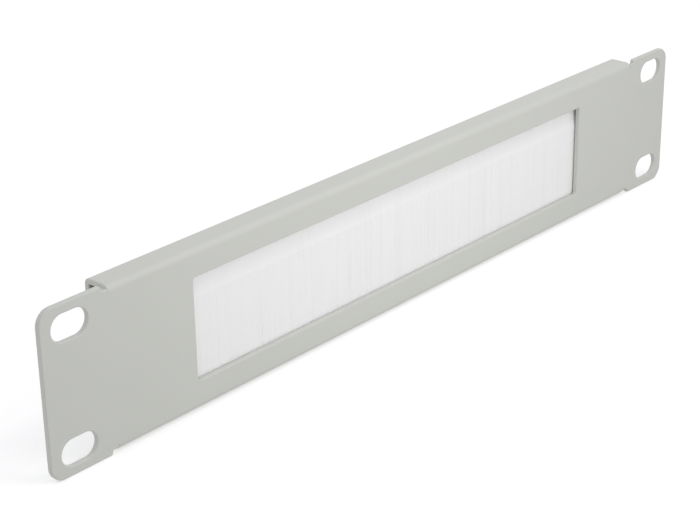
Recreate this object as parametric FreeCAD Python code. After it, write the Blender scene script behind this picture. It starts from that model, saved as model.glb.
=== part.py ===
import FreeCAD, Part
import math
import os

V = FreeCAD.Vector

# Rack brush strip panel, one rack unit high, for the 254 mm (ten-inch) rack.
# Millimetres. X runs along the panel, +Y goes back into the rack, +Z is up.
# The ears' rear faces lie on Y = 0 and the slot pattern is centred on the origin.

# Rack interface; the insets put the slots 236.525 mm apart along and 31.75 mm apart upwards
panel_width = 254.0
panel_height = 43.66
slot_inset_x = 8.7375
slot_inset_z = 5.955
slot_length = 10.8
slot_height = 6.9

# Sheet and its folds
sheet = 1.5
bend_inner = 0.2
fold_inset = 0.45
lip_height = 7.0
ear_width = 18.5
relief_width = 1.8
relief_depth = 0.8
ear_corner = 4.0
ear_inner_corner = 0.5
relief_corner = 0.5
lip_corner = 0.4
front_round = 0.35
rear_chamfer = 0.2
end_chamfer = 0.2

# Cable window, from just under the brush channel down to the bottom margin
window_top_drop = 0.18
window_bottom_margin = 8.18
window_corner = 0.5

# Strip brush clamped in the upper fold
brush_end_gap = 11.7
brush_end_overlap = 15.0
channel_width = 5.0
channel_height = 5.5
channel_wall = 0.4
channel_top_gap = 0.2
channel_corner_ease = 0.4
channel_grip_height = 0.6
channel_taper_height = 1.6
wire_diameter = 1.2
wire_clearance = 0.03
root_clearance = 0.05
neck_thickness = 2.6
neck_length = 0.5
splay_height = 6.0
wall_gap_front = 0.1
bristle_end_inset = 0.4
tip_overlap = 4.0
tuft_pitch = 1.9
tuft_relief = 0.22

# Derived places
front_y = -sheet
cut_start_y = front_y - sheet
cut_depth = 3 * sheet
bend_outer = bend_inner + sheet
half_height = panel_height / 2
fold_top_z = half_height - fold_inset
slot_x = panel_width / 2 - slot_inset_x
slot_z = half_height - slot_inset_z
relief_outer_x = panel_width / 2 - ear_width
fold_half_width = relief_outer_x - relief_width
lip_front_y = channel_width
fold_rear_y = lip_front_y + sheet
lip_end_z = fold_top_z - lip_height
pocket_top_z = fold_top_z - sheet
relief_floor_z = fold_top_z - relief_depth
bend_line_z = fold_top_z - bend_outer

channel_corner = bend_inner + channel_corner_ease
channel_top_z = pocket_top_z - channel_top_gap
channel_mouth_z = channel_top_z - channel_height
window_top_z = channel_mouth_z - window_top_drop
window_bottom_z = -half_height + window_bottom_margin
overlap_z = (bend_line_z + window_top_z) / 2
overlap_low_z = (-bend_line_z + window_bottom_z) / 2

brush_length = 2 * (fold_half_width - brush_end_gap)
window_width = brush_length - 2 * brush_end_overlap
channel_mid_y = channel_width / 2
grip_top_z = channel_mouth_z + channel_grip_height
taper_top_z = grip_top_z + channel_taper_height

wire_radius = wire_diameter / 2
root_half = channel_width / 2 - channel_wall - root_clearance
wire_z = channel_top_z - channel_wall - root_clearance - root_half
neck_half = neck_thickness / 2
neck_end_z = channel_mouth_z - neck_length
splay_z = neck_end_z - splay_height
tip_z = window_bottom_z - tip_overlap
wall_half = channel_mid_y - wall_gap_front
bristle_half_length = brush_length / 2 - bristle_end_inset
tuft_count = int(2 * bristle_half_length / tuft_pitch)

same_point = 1e-6


def in_side_view(x):
    # Places an outline drawn as (back, up) at one station along the panel.
    return lambda point: V(x, point.x, point.y)


def in_front_view(y):
    # Places an outline drawn as (along, up) at one depth.
    return lambda point: V(point.x, y, point.y)


def rounded_face(corners, place):
    # A closed outline; every corner is (u, v, radius).
    turns = []
    count = len(corners)
    for i, (u, v, radius) in enumerate(corners):
        here = V(u, v, 0)
        if radius <= 0:
            turns.append((here, None, here))
            continue
        to_last = (V(corners[i - 1][0], corners[i - 1][1], 0) - here).normalize()
        after = corners[(i + 1) % count]
        to_next = (V(after[0], after[1], 0) - here).normalize()
        half = to_last.getAngle(to_next) / 2
        reach = radius / math.tan(half)
        bisector = (to_last + to_next).normalize()
        middle = here + bisector * (radius / math.sin(half) - radius)
        turns.append((here + to_last * reach, middle, here + to_next * reach))
    edges = []
    for i, (start, middle, end) in enumerate(turns):
        if middle is not None:
            edges.append(Part.Arc(place(start), place(middle), place(end)).toShape())
        following = turns[(i + 1) % count][0]
        if end.distanceToPoint(following) > same_point:
            edges.append(Part.makeLine(place(end), place(following)))
    return Part.Face(Part.Wire(edges))


def slot_cutter(x, z):
    # Obround through the sheet, long side along X.
    straight = slot_length - slot_height
    radius = slot_height / 2
    corner = V(x - straight / 2, cut_start_y, z - radius)
    body = Part.makeBox(straight, cut_depth, slot_height, corner)
    for end_x in (x - straight / 2, x + straight / 2):
        start = V(end_x, cut_start_y, z)
        body = body.fuse(Part.makeCylinder(radius, cut_depth, start, V(0, 1, 0)))
    return body.removeSplitter()


def rim_edges(shape, y):
    # Edges that lie wholly on the plane at depth y, without those the folds grow from.
    found = []
    for edge in shape.Edges:
        box = edge.BoundBox
        on_plane = abs(box.YMin - y) < same_point and abs(box.YMax - y) < same_point
        between_ears = max(-box.XMin, box.XMax) < fold_half_width + same_point
        beside_window = box.ZMin < overlap_z and box.ZMax > overlap_low_z
        if on_plane and (beside_window or not between_ears):
            found.append(edge)
    return found


def end_edges(shape, x, buried_z):
    # Edges on the end plane at x, without the one buried in the plate.
    found = []
    for edge in shape.Edges:
        box = edge.BoundBox
        on_end = abs(box.XMin - x) < same_point and abs(box.XMax - x) < same_point
        buried = abs(box.ZMin - buried_z) < same_point and abs(box.ZMax - buried_z) < same_point
        if on_end and not buried:
            found.append(edge)
    return found


def plate_blank():
    # Flat plate with both ears, which stand slightly proud of the folds' outer faces.
    half_width = panel_width / 2
    outline = [
        (half_width, half_height, ear_corner),
        (relief_outer_x, half_height, ear_inner_corner),
        (relief_outer_x, relief_floor_z, relief_corner),
        (fold_half_width, relief_floor_z, 0),
        (fold_half_width, bend_line_z, 0),
        (-fold_half_width, bend_line_z, 0),
        (-fold_half_width, relief_floor_z, 0),
        (-relief_outer_x, relief_floor_z, relief_corner),
        (-relief_outer_x, half_height, ear_inner_corner),
        (-half_width, half_height, ear_corner),
        (-half_width, -half_height, ear_corner),
        (-relief_outer_x, -half_height, ear_inner_corner),
        (-relief_outer_x, -relief_floor_z, relief_corner),
        (-fold_half_width, -relief_floor_z, 0),
        (-fold_half_width, -bend_line_z, 0),
        (fold_half_width, -bend_line_z, 0),
        (fold_half_width, -relief_floor_z, 0),
        (relief_outer_x, -relief_floor_z, relief_corner),
        (relief_outer_x, -half_height, ear_inner_corner),
        (half_width, -half_height, ear_corner),
    ]
    blank = rounded_face(outline, in_front_view(front_y)).extrude(V(0, sheet, 0))
    half_window = window_width / 2
    window = [
        (half_window, window_top_z, window_corner),
        (-half_window, window_top_z, window_corner),
        (-half_window, window_bottom_z, window_corner),
        (half_window, window_bottom_z, window_corner),
    ]
    cutter = rounded_face(window, in_front_view(cut_start_y)).extrude(V(0, cut_depth, 0))
    blank = blank.cut(cutter)
    for x in (-slot_x, slot_x):
        for z in (-slot_z, slot_z):
            blank = blank.cut(slot_cutter(x, z))
    # The punched front rims are rolled over, the rear ones only deburred.
    blank = blank.makeFillet(front_round, rim_edges(blank, front_y))
    return blank.makeChamfer(rear_chamfer, rim_edges(blank, 0))


def folded_strip(outline, buried_z):
    # A fold extruded along the panel, its end faces softened.
    strip = rounded_face(outline, in_side_view(-fold_half_width))
    strip = strip.extrude(V(2 * fold_half_width, 0, 0))
    rims = end_edges(strip, -fold_half_width, buried_z)
    rims += end_edges(strip, fold_half_width, buried_z)
    return strip.makeChamfer(end_chamfer, rims)


def upper_fold():
    # Back over the top, then down again: the pocket that holds the brush.
    outline = [
        (front_y, overlap_z, 0),
        (front_y, fold_top_z, bend_outer),
        (fold_rear_y, fold_top_z, bend_outer),
        (fold_rear_y, lip_end_z, lip_corner),
        (lip_front_y, lip_end_z, lip_corner),
        (lip_front_y, pocket_top_z, bend_inner),
        (0, pocket_top_z, bend_inner),
        (0, overlap_z, 0),
    ]
    return folded_strip(outline, overlap_z)


def lower_fold():
    # One stiffening flange turned back along the bottom.
    outline = [
        (front_y, overlap_low_z, 0),
        (0, overlap_low_z, 0),
        (0, -pocket_top_z, bend_inner),
        (fold_rear_y, -pocket_top_z, lip_corner),
        (fold_rear_y, -fold_top_z, lip_corner),
        (front_y, -fold_top_z, bend_outer),
    ]
    return folded_strip(outline, overlap_low_z)


def rail_zone(inner_x, outer_x):
    # The part of the rear plane that bears on one rail.
    corners = [
        (inner_x, -half_height, 0),
        (outer_x, -half_height, 0),
        (outer_x, half_height, 0),
        (inner_x, half_height, 0),
    ]
    return rounded_face(corners, in_front_view(0))


def make_panel():
    # Plate, ears and both folds are one bent sheet. A split line behind each ear
    # keeps the face that bears on the rail apart from the rest of the rear face.
    panel = plate_blank().fuse([upper_fold(), lower_fold()]).removeSplitter()
    zones = [
        rail_zone(-relief_outer_x, -panel_width / 2),
        rail_zone(relief_outer_x, panel_width / 2),
    ]
    split, _ = panel.generalFuse(zones)
    return split.Solids[0]


def make_channel():
    # Thin U, crimped in at its mouth so that it grips the bristles.
    mid = channel_mid_y
    wall = channel_wall
    outer_grip = neck_half + wall
    outline = [
        (0, channel_top_z, channel_corner),
        (channel_width, channel_top_z, channel_corner),
        (channel_width, taper_top_z, 0),
        (mid + outer_grip, grip_top_z, 0),
        (mid + outer_grip, channel_mouth_z, 0),
        (mid + neck_half, channel_mouth_z, 0),
        (mid + neck_half, grip_top_z, 0),
        (channel_width - wall, taper_top_z, 0),
        (channel_width - wall, channel_top_z - wall, channel_corner - wall),
        (wall, channel_top_z - wall, channel_corner - wall),
        (wall, taper_top_z, 0),
        (mid - neck_half, grip_top_z, 0),
        (mid - neck_half, channel_mouth_z, 0),
        (mid - outer_grip, channel_mouth_z, 0),
        (mid - outer_grip, grip_top_z, 0),
        (0, taper_top_z, 0),
    ]
    section = rounded_face(outline, in_side_view(-brush_length / 2))
    return section.extrude(V(brush_length, 0, 0))


def make_wire():
    # Straight core wire that the bristles are folded over.
    start = V(-brush_length / 2, channel_mid_y, wire_z)
    return Part.makeCylinder(wire_radius, brush_length, start, V(1, 0, 0))


def tuft_outline(half_thickness, z):
    # One level of the bristle wall: a crest per tuft on either side.
    points = []
    step = 2 * bristle_half_length / tuft_count
    for side in (-1, 1):
        row = []
        for i in range(2 * tuft_count + 1):
            x = -bristle_half_length + i * step / 2
            depth = half_thickness - (tuft_relief if i % 2 == 0 else 0)
            row.append(V(x, channel_mid_y + side * depth, z))
        points += row if side < 0 else row[::-1]
    return Part.makePolygon(points + [points[0]])


def make_bristles():
    # Bristles folded over the wire, pinched by the mouth, then splaying downwards.
    mid = channel_mid_y
    root = [
        (mid - root_half, wire_z + root_half, root_half),
        (mid + root_half, wire_z + root_half, root_half),
        (mid + root_half, taper_top_z, 0),
        (mid + neck_half, grip_top_z, 0),
        (mid + neck_half, neck_end_z, 0),
        (mid - neck_half, neck_end_z, 0),
        (mid - neck_half, grip_top_z, 0),
        (mid - root_half, taper_top_z, 0),
    ]
    start_x = -bristle_half_length
    length = 2 * bristle_half_length
    upper = rounded_face(root, in_side_view(start_x)).extrude(V(length, 0, 0))
    bore_start = V(-brush_length / 2, mid, wire_z)
    bore = Part.makeCylinder(wire_radius + wire_clearance, brush_length, bore_start, V(1, 0, 0))
    levels = [
        tuft_outline(neck_half + tuft_relief, neck_end_z),
        tuft_outline(wall_half, splay_z),
        tuft_outline(wall_half, tip_z),
    ]
    wall = Part.makeLoft(levels, True, True)
    return upper.cut(bore).fuse(wall).removeSplitter()


os.makedirs("parts", exist_ok=True)
nodes = {
    "panel": make_panel(),
    "brush_channel": make_channel(),
    "core_wire": make_wire(),
    "bristles": make_bristles(),
}
for name, shape in nodes.items():
    solid = shape.Solids[0] if len(shape.Solids) == 1 else shape
    solid.exportStep("parts/" + name + ".step")
    box = solid.BoundBox
    print(name, solid.ShapeType, solid.isValid(), len(solid.Faces), round(solid.Volume, 1), box)
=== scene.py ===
import math
import random

import bmesh
import bpy
from mathutils import Matrix, Vector, noise


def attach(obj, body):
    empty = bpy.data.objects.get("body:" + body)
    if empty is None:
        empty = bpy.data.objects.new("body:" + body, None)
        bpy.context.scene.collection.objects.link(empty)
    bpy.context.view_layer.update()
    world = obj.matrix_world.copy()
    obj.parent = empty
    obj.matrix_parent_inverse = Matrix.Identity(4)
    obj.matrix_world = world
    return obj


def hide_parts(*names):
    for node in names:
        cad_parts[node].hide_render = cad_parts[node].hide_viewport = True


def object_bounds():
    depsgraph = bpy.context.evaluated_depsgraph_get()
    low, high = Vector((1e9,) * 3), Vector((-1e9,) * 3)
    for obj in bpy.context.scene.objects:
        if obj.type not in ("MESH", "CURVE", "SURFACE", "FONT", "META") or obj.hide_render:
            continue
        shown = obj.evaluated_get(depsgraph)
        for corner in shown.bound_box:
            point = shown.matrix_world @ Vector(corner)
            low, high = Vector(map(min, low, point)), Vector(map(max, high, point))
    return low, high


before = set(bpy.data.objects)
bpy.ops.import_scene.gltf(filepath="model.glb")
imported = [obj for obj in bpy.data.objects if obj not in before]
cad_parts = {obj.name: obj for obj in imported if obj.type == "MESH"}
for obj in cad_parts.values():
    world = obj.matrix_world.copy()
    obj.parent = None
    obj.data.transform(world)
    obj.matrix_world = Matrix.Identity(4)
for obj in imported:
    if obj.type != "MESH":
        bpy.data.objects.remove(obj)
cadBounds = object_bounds()
print("frame loaded:", sorted(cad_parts))


def nodeBox(name):
    # The lowest and the highest corner of a CAD node, in metres.
    corners = [Vector(corner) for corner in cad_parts[name].bound_box]
    return [Vector([pick(corner[axis] for corner in corners) for axis in range(3)]) for pick in (min, max)]


bristlesLow, bristlesHigh = nodeBox("bristles")
channelLow, channelHigh = nodeBox("brush_channel")
wireLow, wireHigh = nodeBox("core_wire")


class Value:
    # A socket in a node tree; sums and products on it add their own Math nodes.
    def __init__(self, paint, socket):
        self.paint = paint
        self.socket = socket

    def math(self, operation, *others):
        return self.paint.node("ShaderNodeMath", {"operation": operation}, [self, *others])

    def __add__(self, other):
        return self.math("ADD", other)

    def __radd__(self, other):
        return self.math("ADD", other)

    def __sub__(self, other):
        return self.math("SUBTRACT", other)

    def __rsub__(self, other):
        return self.paint.node("ShaderNodeMath", {"operation": "SUBTRACT"}, [other, self])

    def __mul__(self, other):
        return self.math("MULTIPLY", other)

    def __rmul__(self, other):
        return self.math("MULTIPLY", other)


class Paint:
    # The nodes of one material, or of the world.
    def __init__(self, tree):
        self.tree = tree

    def node(self, kind, settings=None, inputs=(), output=0):
        made = self.tree.nodes.new(kind)
        for key, value in (settings or {}).items():
            setattr(made, key, value)
        pairs = inputs.items() if isinstance(inputs, dict) else enumerate(inputs)
        for key, value in pairs:
            self.feed(made.inputs[key], value)
        return Value(self, made.outputs[output])

    def feed(self, socket, value):
        if isinstance(value, Value):
            self.tree.links.new(value.socket, socket)
        else:
            socket.default_value = value


class Finish(Paint):
    # A procedural material on its own Principled shader.
    def __init__(self, name):
        self.material = bpy.data.materials.new(name)
        self.material.use_nodes = True
        super().__init__(self.material.node_tree)
        self.shader = self.tree.nodes["Principled BSDF"]

    def place(self, scale=(1, 1, 1)):
        # Object coordinates, stretched.
        here = self.node("ShaderNodeTexCoord", output="Object")
        return self.node("ShaderNodeMapping", {"vector_type": "POINT"}, {"Vector": here, "Scale": scale})

    def speckle(self, where, scale, detail=2.0, roughness=0.5):
        return self.node("ShaderNodeTexNoise", None,
                         {"Vector": where, "Scale": scale, "Detail": detail, "Roughness": roughness})

    def blend(self, factor, first, second):
        return self.node("ShaderNodeMix", {"data_type": "RGBA"}, {0: factor, 6: first, 7: second}, output=2)

    def bump(self, height, strength, depth):
        self.feed(self.shader.inputs["Normal"], self.node(
            "ShaderNodeBump", None, {"Height": height, "Strength": strength, "Distance": depth}))

    def set(self, **values):
        for key, value in values.items():
            self.feed(self.shader.inputs[key.replace("_", " ")], value)


def rgba(red, green, blue):
    return (red, green, blue, 1.0)


def dress(piece, finish):
    piece.data.materials.clear()
    piece.data.materials.append(finish.material)


def makeMesh(name, bm):
    mesh = bpy.data.meshes.new(name)
    bm.to_mesh(mesh)
    bm.free()
    return mesh


def addObject(name, data):
    made = bpy.data.objects.new(name, data)
    bpy.context.scene.collection.objects.link(made)
    return made


# The folded panel: powder-coated sheet.
powderCoat = dict(
    light=rgba(0.640, 0.650, 0.604),
    dark=rgba(0.612, 0.622, 0.574),
    pocketShade=rgba(0.150, 0.152, 0.145),      # painted shade on the walls inside the upper fold
    cloudScale=34.0,                     # broad tone shifts, about 30 mm
    cloudDetail=3.0,
    cloudShare=0.75,
    grainScale=1500.0,                   # orange peel, about 0.7 mm
    grainRoughness=0.45,
    grainShare=0.8,
    fleckScale=4650.0,
    fleckDetail=1.0,
    roughness=0.40,
    roughnessSpread=0.12,
    bumpStrength=0.55,
    bumpDepth=0.000012,
    ior=1.5,
)

# The pocket in the upper fold, as wide as the channel in it, where shade is painted on the coat.
pocket = dict(
    slack=0.00004,                       # takes in the pocket's own walls
    topZ=0.0199,
    mouthZ=0.0146,
    endX=0.1066,
    rise=0.0030,                         # over which the painted shade fades in, up from the mouth
    run=0.0015,                          # and in from the fold's ends
)


def pocketShadeMask(finish):
    # 1 on the walls inside the upper fold, where the shade is painted, 0 everywhere else.
    here = finish.place()
    x, y, z = (finish.node("ShaderNodeSeparateXYZ", None, [here], output=axis) for axis in range(3))
    behindPlate = y.math("GREATER_THAN", channelLow.y - pocket["slack"])
    beforeLip = y.math("LESS_THAN", channelHigh.y + pocket["slack"])
    up = (z - pocket["mouthZ"]) * (1 / pocket["rise"])
    inward = (pocket["endX"] - x.math("ABSOLUTE")) * (1 / pocket["run"])
    deep = up.math("MINIMUM", inward).math("MINIMUM", 1.0).math("MAXIMUM", 0.0)
    return behindPlate * beforeLip * deep * z.math("LESS_THAN", pocket["topZ"])


def powderCoatFinish():
    finish = Finish("powder coat")
    here = finish.place()
    cloud = finish.speckle(here, powderCoat["cloudScale"], powderCoat["cloudDetail"])
    grain = finish.speckle(here, powderCoat["grainScale"], roughness=powderCoat["grainRoughness"])
    fleck = finish.speckle(here, powderCoat["fleckScale"], powderCoat["fleckDetail"])
    tone = cloud * powderCoat["cloudShare"] + fleck * (1 - powderCoat["cloudShare"])
    coat = finish.blend(tone, powderCoat["dark"], powderCoat["light"])
    finish.set(
        # Painted shade: the pocket's walls take a dark grey in place of the coat.
        Base_Color=finish.blend(pocketShadeMask(finish), coat, powderCoat["pocketShade"]),
        Roughness=powderCoat["roughness"] + (grain - 0.5) * powderCoat["roughnessSpread"],
        IOR=powderCoat["ior"],
    )
    peel = grain * powderCoat["grainShare"] + fleck * (1 - powderCoat["grainShare"])
    finish.bump(peel, powderCoat["bumpStrength"], powderCoat["bumpDepth"])
    return finish


# The brush channel: zinc-coated strip, drawn along its length.
zincStrip = dict(
    light=rgba(0.66, 0.67, 0.68),
    dark=rgba(0.50, 0.51, 0.53),
    spangleScale=260.0,
    lineScale=5200.0,
    lineStretch=0.02,                    # lines run along X
    lineShare=0.5,
    roughness=0.42,
    roughnessSpread=0.2,
    bumpStrength=0.4,
    bumpDepth=0.000008,
)


def zincFinish():
    finish = Finish("zinc-coated strip")
    spangle = finish.node("ShaderNodeTexVoronoi", {"feature": "F1"},
                          {"Vector": finish.place(), "Scale": zincStrip["spangleScale"]})
    drawn = finish.speckle(finish.place((zincStrip["lineStretch"], 1, 1)), zincStrip["lineScale"])
    tone = drawn * zincStrip["lineShare"] + spangle * (1 - zincStrip["lineShare"])
    finish.set(
        Base_Color=finish.blend(tone, zincStrip["dark"], zincStrip["light"]),
        Metallic=1.0,
        Roughness=zincStrip["roughness"] + (drawn - 0.5) * zincStrip["roughnessSpread"],
    )
    finish.bump(drawn, zincStrip["bumpStrength"], zincStrip["bumpDepth"])
    return finish


# The core wire: bright drawn steel.
drawnWire = dict(
    light=rgba(0.60, 0.60, 0.61),
    dark=rgba(0.42, 0.42, 0.43),
    lineScale=6500.0,
    lineStretch=0.015,
    roughness=0.30,
    roughnessSpread=0.15,
    bumpStrength=0.4,
    bumpDepth=0.000006,
)


def wireFinish():
    finish = Finish("drawn wire")
    drawn = finish.speckle(finish.place((drawnWire["lineStretch"], 1, 1)), drawnWire["lineScale"])
    finish.set(
        Base_Color=finish.blend(drawn, drawnWire["dark"], drawnWire["light"]),
        Metallic=1.0,
        Roughness=drawnWire["roughness"] + (drawn - 0.5) * drawnWire["roughnessSpread"],
    )
    finish.bump(drawn, drawnWire["bumpStrength"], drawnWire["bumpDepth"])
    return finish


# The bristles: straight white nylon filaments.
nylon = dict(
    light=rgba(0.969, 0.968, 0.961),
    dark=rgba(0.945, 0.944, 0.937),
    strandScale=4200.0,
    lockScale=588.0,                     # tone shared by a lock of filaments
    stretch=0.012,                       # streaks run down the filaments
    strandShare=0.6,
    roughness=0.5,
    roughnessSpread=0.14,
    ior=1.53,
)


def nylonFinish():
    finish = Finish("white nylon")
    along = finish.place((1, 1, nylon["stretch"]))
    strand = finish.speckle(along, nylon["strandScale"], 1.0)
    lock = finish.speckle(along, nylon["lockScale"])
    tone = strand * nylon["strandShare"] + lock * (1 - nylon["strandShare"])
    finish.set(
        Base_Color=finish.blend(tone, nylon["dark"], nylon["light"]),
        Roughness=nylon["roughness"] + (strand - 0.5) * nylon["roughnessSpread"],
        IOR=nylon["ior"],
    )
    return finish


# The brush: rows of filaments that leave the channel's mouth and spread to a wall.
brush = dict(
    rootZ=0.0156,                        # filaments start inside the channel
    neckLength=0.0005,                   # pinched so far below it
    splayHeight=0.006,                   # over which they spread to the wall
    bendZs=(0.0108, -0.006),             # two more rings to bend a filament at
    neckHalf=0.00116,
    wallHalf=0.00226,
    filamentRadius=0.000143,
    sides=4,
    facing=45,                           # degrees: an edge to the front
    twist=0.05,                          # radians, one standard deviation, as the drifts below
    pitch=0.00020,                       # between neighbours in a row
    jitter=0.000006,
    rows=12,                             # from front to back
    rowStart=0.25,                       # share of the pitch before a row's first filament
    rowShift=0.5,                        # and by which every other row is moved on
    depthJitter=0.030,                   # share of the step between rows
    sections=5,
    tuftsEach=24,
    endRadii=3,                          # filament radii kept free at the brush's ends
    lean=0.000013,                       # sideways drift of a tip
    leanWaves=320,                       # per metre, shared by neighbours
    leanSlice=3.7,
    bow=0.000008,
    bowDepth=0.000004,
    tipUneven=0.00018,
    seed=41,
)

halfLength = bristlesHigh.x
centreY = (bristlesLow.y + bristlesHigh.y) / 2
neckZ = channelLow.z - brush["neckLength"]
splayZ = neckZ - brush["splayHeight"]
tipZ = bristlesLow.z + brush["tipUneven"]

# Where the bristles part a little.
partings = dict(
    places=[
        dict(x=-0.0555, half=0.00005, topZ=0.004),
        dict(x=-0.0312, half=0.00003, topZ=0.006),
        dict(x=0.0533, half=0.00003, topZ=0.004),
    ],
    drop=0.02,                           # over which a parting opens
    reach=0.0008,                        # how far to the side it pushes
)


def smoothStep(value):
    value = min(max(value, 0.0), 1.0)
    return value * value * (3 - 2 * value)


def filamentMesh():
    # One straight filament, closed at both ends, with rings to bend it at.
    bm = bmesh.new()
    length = brush["rootZ"] - tipZ
    bmesh.ops.create_cone(bm, cap_ends=True, segments=brush["sides"], radius1=brush["filamentRadius"],
                          radius2=brush["filamentRadius"], depth=length,
                          matrix=Matrix.Translation((0, 0, brush["rootZ"] - length / 2)))
    for z in (neckZ, splayZ, *brush["bendZs"]):
        bmesh.ops.bisect_plane(bm, geom=bm.verts[:] + bm.edges[:] + bm.faces[:],
                               plane_co=(0, 0, z), plane_no=(0, 0, 1))
    return makeMesh("filament", bm)


def partBristles(footX, z, share):
    # How far a filament near the front leans away from a parting.
    push = 0.0
    for parting in partings["places"]:
        away = footX - parting["x"]
        opened = smoothStep((parting["topZ"] - z) / partings["drop"])
        near = math.exp(-abs(away) / partings["reach"])
        push += math.copysign(parting["half"] * opened * near * max(0.0, -share), away)
    return push


def addFilament(bm, filament, dice, footX, share):
    # Down through the channel's mouth, out to the wall of bristles, then straight to its tip.
    drift = noise.noise(Vector((footX * brush["leanWaves"], share, brush["leanSlice"])))
    leanX = dice.gauss(0, brush["lean"]) + brush["lean"] * drift
    bowX = dice.gauss(0, brush["bow"])
    bowY = dice.gauss(0, brush["bowDepth"])
    tipLift = dice.uniform(-1, 1) * brush["tipUneven"]
    turn = Matrix.Rotation(math.radians(brush["facing"]) + dice.gauss(0, brush["twist"]), 3, "Z")
    first = len(bm.verts)
    bm.from_mesh(filament)
    bm.verts.ensure_lookup_table()
    for vert in bm.verts[first:]:
        z = vert.co.z
        spread = smoothStep((neckZ - z) / (neckZ - splayZ))
        down = min(max((neckZ - z) / (neckZ - tipZ), 0.0), 1.0)
        reach = brush["neckHalf"] + (brush["wallHalf"] - brush["neckHalf"]) * spread
        swing = math.sin(math.pi * down)
        across = min(max(share * reach + bowY * swing, -brush["wallHalf"]), brush["wallHalf"])
        offset = turn @ vert.co
        x = footX + offset.x + leanX * down + bowX * swing + partBristles(footX, z, share)
        vert.co = (x, centreY + offset.y + across, z + tipLift * down)


def makeTuft(filament, dice, startX, endX):
    # The filaments between two stations along the brush, row behind row.
    bm = bmesh.new()
    count = round((endX - startX) / brush["pitch"])
    step = (endX - startX) / count
    for row in range(brush["rows"]):
        rowX = startX + (brush["rowStart"] + brush["rowShift"] * (row % 2)) * step
        for place in range(count):
            footX = rowX + place * step + dice.gauss(0, brush["jitter"])
            depth = row + 0.5 + dice.uniform(-1, 1) * brush["depthJitter"]
            addFilament(bm, filament, dice, footX, 2 * depth / brush["rows"] - 1)
    return makeMesh("tuft", bm)


def makeBristles(finish):
    dice = random.Random(brush["seed"])
    filament = filamentMesh()
    usedHalf = halfLength - brush["endRadii"] * brush["filamentRadius"]
    step = 2 * usedHalf / (brush["sections"] * brush["tuftsEach"])
    pieces = []
    for section in range(brush["sections"]):
        bm = bmesh.new()
        for tuft in range(brush["tuftsEach"]):
            startX = (section * brush["tuftsEach"] + tuft) * step - usedHalf
            mesh = makeTuft(filament, dice, startX, startX + step)
            bm.from_mesh(mesh)
            bpy.data.meshes.remove(mesh)
        name = f"bristle_run_{section + 1}"
        piece = addObject(name, makeMesh(name, bm))
        dress(piece, finish)
        pieces.append(piece)
        print("bristle run", section + 1, len(piece.data.polygons), "faces")
    bpy.data.meshes.remove(filament)
    return pieces


# The bristles' roots, folded over the wire inside the channel.
roots = dict(
    gripHeight=0.0006,                   # the channel's narrow mouth
    taperHeight=0.0016,                  # from there to its full width
    outerRadius=0.00203,
    boreRadius=0.00063,
    footZ=0.01385,
    footShare=0.999,                     # the lowest point of the ring stays in the middle
    neckHalf=0.00128,
    segments=40,
)

wireY = (wireLow.y + wireHigh.y) / 2
wireZ = (wireLow.z + wireHigh.z) / 2
gripTopZ = channelLow.z + roots["gripHeight"]
taperTopZ = gripTopZ + roots["taperHeight"]


def rootHalfWidth(z):
    # As wide as the inside of the channel, drawn in to the neck below.
    if z > taperTopZ:
        return roots["outerRadius"]
    slope = smoothStep((taperTopZ - z) / (taperTopZ - gripTopZ))
    return roots["outerRadius"] + (roots["neckHalf"] - roots["outerRadius"]) * slope


def makeRoots(finish):
    bm = bmesh.new()
    turn = Matrix.Translation((-halfLength, wireY, wireZ)) @ Matrix.Rotation(math.radians(90), 4, "Y")
    ring = bmesh.ops.create_circle(bm, segments=roots["segments"], radius=roots["outerRadius"], matrix=turn)
    for vert in ring["verts"]:
        drop = wireZ - vert.co.z
        if drop > 0:
            # the lower half is drawn down to the neck
            share = drop / roots["outerRadius"]
            z = wireZ - share * (wireZ - roots["footZ"])
            half = rootHalfWidth(z)
            away = vert.co.y - wireY
            if share < roots["footShare"]:
                vert.co.y = wireY + math.copysign(min(half, abs(away) + half * share), away)
            vert.co.z = z
    bmesh.ops.create_circle(bm, segments=roots["segments"], radius=roots["boreRadius"], matrix=turn)
    bmesh.ops.bridge_loops(bm, edges=bm.edges[:])
    grown = bmesh.ops.extrude_face_region(bm, geom=bm.faces[:])
    moved = [part for part in grown["geom"] if isinstance(part, bmesh.types.BMVert)]
    bmesh.ops.translate(bm, verts=moved, vec=(2 * halfLength, 0, 0))
    bmesh.ops.recalc_face_normals(bm, faces=bm.faces[:])
    piece = addObject("bristle_roots", makeMesh("bristle_roots", bm))
    dress(piece, finish)
    return piece


dress(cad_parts["panel"], powderCoatFinish())
dress(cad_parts["brush_channel"], zincFinish())
dress(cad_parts["core_wire"], wireFinish())
white = nylonFinish()
print("finishes made")

for piece in makeBristles(white) + [makeRoots(white)]:
    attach(piece, "root")
    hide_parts("bristles")
print("brush made")


# The floor: white to the camera, with the object's shadow, and a plain even light to the object.
stand = dict(
    floorZ=cadBounds[0][2],
    floorSize=6.0,
    shade=rgba(1.0, 1.0, 1.0),           # what the camera sees: lit, so that the shadow shows
    glow=0.27,                           # and lifted to white
    bounce=rgba(0.14, 0.14, 0.14),       # what the object gets: a little light sent back
    lift=0.399,                          # and an even light from below
)


def directRay(paint):
    # 1 for what the camera sees, straight, in a reflection or through something clear.
    names = ("Is Camera Ray", "Is Glossy Ray", "Is Transmission Ray")
    straight, mirrored, through = (paint.node("ShaderNodeLightPath", output=name) for name in names)
    return straight.math("MAXIMUM", mirrored).math("MAXIMUM", through)


def floorShader(paint, colour, strength):
    flat = paint.node("ShaderNodeBsdfDiffuse", None, {"Color": colour})
    light = paint.node("ShaderNodeEmission", None, {"Strength": strength})
    return paint.node("ShaderNodeAddShader", None, [flat, light])


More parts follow.
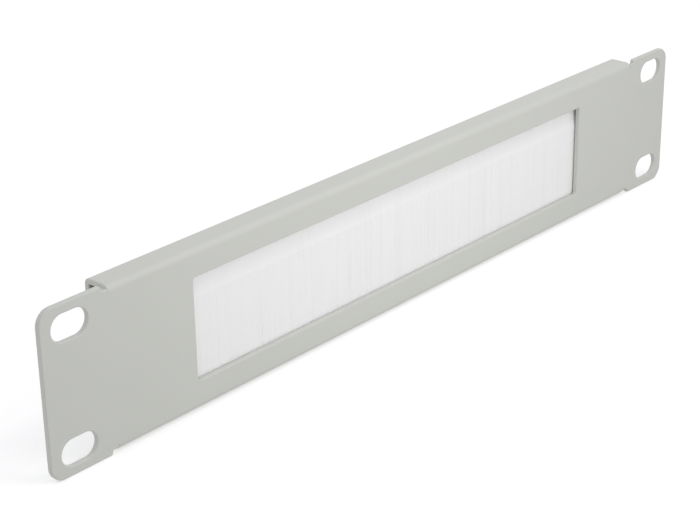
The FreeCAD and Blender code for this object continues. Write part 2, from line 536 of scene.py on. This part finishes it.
def makeFloor():
    bm = bmesh.new()
    bmesh.ops.create_grid(bm, x_segments=1, y_segments=1, size=stand["floorSize"] / 2,
                          matrix=Matrix.Translation((0, 0, stand["floorZ"])))
    floor = addObject("floor", makeMesh("floor", bm))
    material = bpy.data.materials.new("floor")
    material.use_nodes = True
    tree = material.node_tree
    tree.nodes.remove(tree.nodes["Principled BSDF"])
    paint = Paint(tree)
    given = floorShader(paint, stand["bounce"], stand["lift"])
    seen = floorShader(paint, stand["shade"], stand["glow"])
    mixed = paint.node("ShaderNodeMixShader", None, [directRay(paint), given, seen])
    paint.feed(tree.nodes["Material Output"].inputs["Surface"], mixed)
    floor.data.materials.append(material)


# The studio: an even sky and two soft lamps, in metres and watts.
studio = dict(
    sky=0.730,
    skyTint=rgba(0.995, 0.996, 1.020),
    lamps=dict(
        near=dict(place=(0.0, -0.18, 0.08), aim=(0, 0, 0), size=0.12, watts=0.0966),
        glint=dict(place=(0.103, -0.114, 0.282), aim=(-0.10, 0, 0.02), size=0.04, watts=0.0757),
    ),
)


def makeWorld():
    world = bpy.data.worlds.new("studio")
    bpy.context.scene.world = world
    world.use_nodes = True
    tree = world.node_tree
    tree.nodes.remove(tree.nodes["Background"])
    paint = Paint(tree)
    given = paint.node("ShaderNodeBackground", None, {"Color": studio["skyTint"], "Strength": studio["sky"]})
    seen = paint.node("ShaderNodeBackground", None, {"Color": rgba(1, 1, 1)})
    mixed = paint.node("ShaderNodeMixShader", None, [directRay(paint), given, seen])
    paint.feed(tree.nodes["World Output"].inputs["Surface"], mixed)


def makeLamp(name, spec):
    light = bpy.data.lights.new(name, "AREA")
    light.shape = "SQUARE"
    light.size = spec["size"]
    light.energy = spec["watts"]
    lamp = addObject(name, light)
    lamp.visible_camera = False
    lamp.location = spec["place"]
    towards = Vector(spec["aim"]) - Vector(spec["place"])
    lamp.rotation_euler = towards.to_track_quat("-Z", "Y").to_euler()


# The photograph's own perspective: angles in degrees, lens and sensor in mm, the rest in metres.
viewpoint = dict(
    azimuth=-48.193,
    elevation=23.976,
    roll=-0.879,
    lens=93.350,
    sensor=36.0,
    across=0.014714,
    down=-0.009459,
    away=0.493844,
    clip=(0.01, 20.0),
)


def makeCamera():
    azimuth, elevation, roll = (math.radians(viewpoint[key]) for key in ("azimuth", "elevation", "roll"))
    back = Vector((math.sin(azimuth) * math.cos(elevation),
                   -math.cos(azimuth) * math.cos(elevation), math.sin(elevation)))
    levelRight = (-back).cross(Vector((0, 0, 1))).normalized()
    levelDown = (-back).cross(levelRight)
    right = levelRight * math.cos(roll) - levelDown * math.sin(roll)
    down = levelRight * math.sin(roll) + levelDown * math.cos(roll)
    place = back * viewpoint["away"] - right * viewpoint["across"] - down * viewpoint["down"]
    data = bpy.data.cameras.new("view")
    data.sensor_fit = "HORIZONTAL"
    data.sensor_width = viewpoint["sensor"]
    data.lens = viewpoint["lens"]
    data.clip_start, data.clip_end = viewpoint["clip"]
    camera = addObject("view", data)
    camera.matrix_world = Matrix((
        (right.x, -down.x, back.x, place.x),
        (right.y, -down.y, back.y, place.y),
        (right.z, -down.z, back.z, place.z),
        (0, 0, 0, 1),
    ))
    bpy.context.scene.camera = camera


makeFloor()
makeWorld()
for lampName, spec in studio["lamps"].items():
    makeLamp(lampName, spec)
makeCamera()
bpy.context.scene.view_settings.view_transform = "Standard"
print("floor, light and camera set")
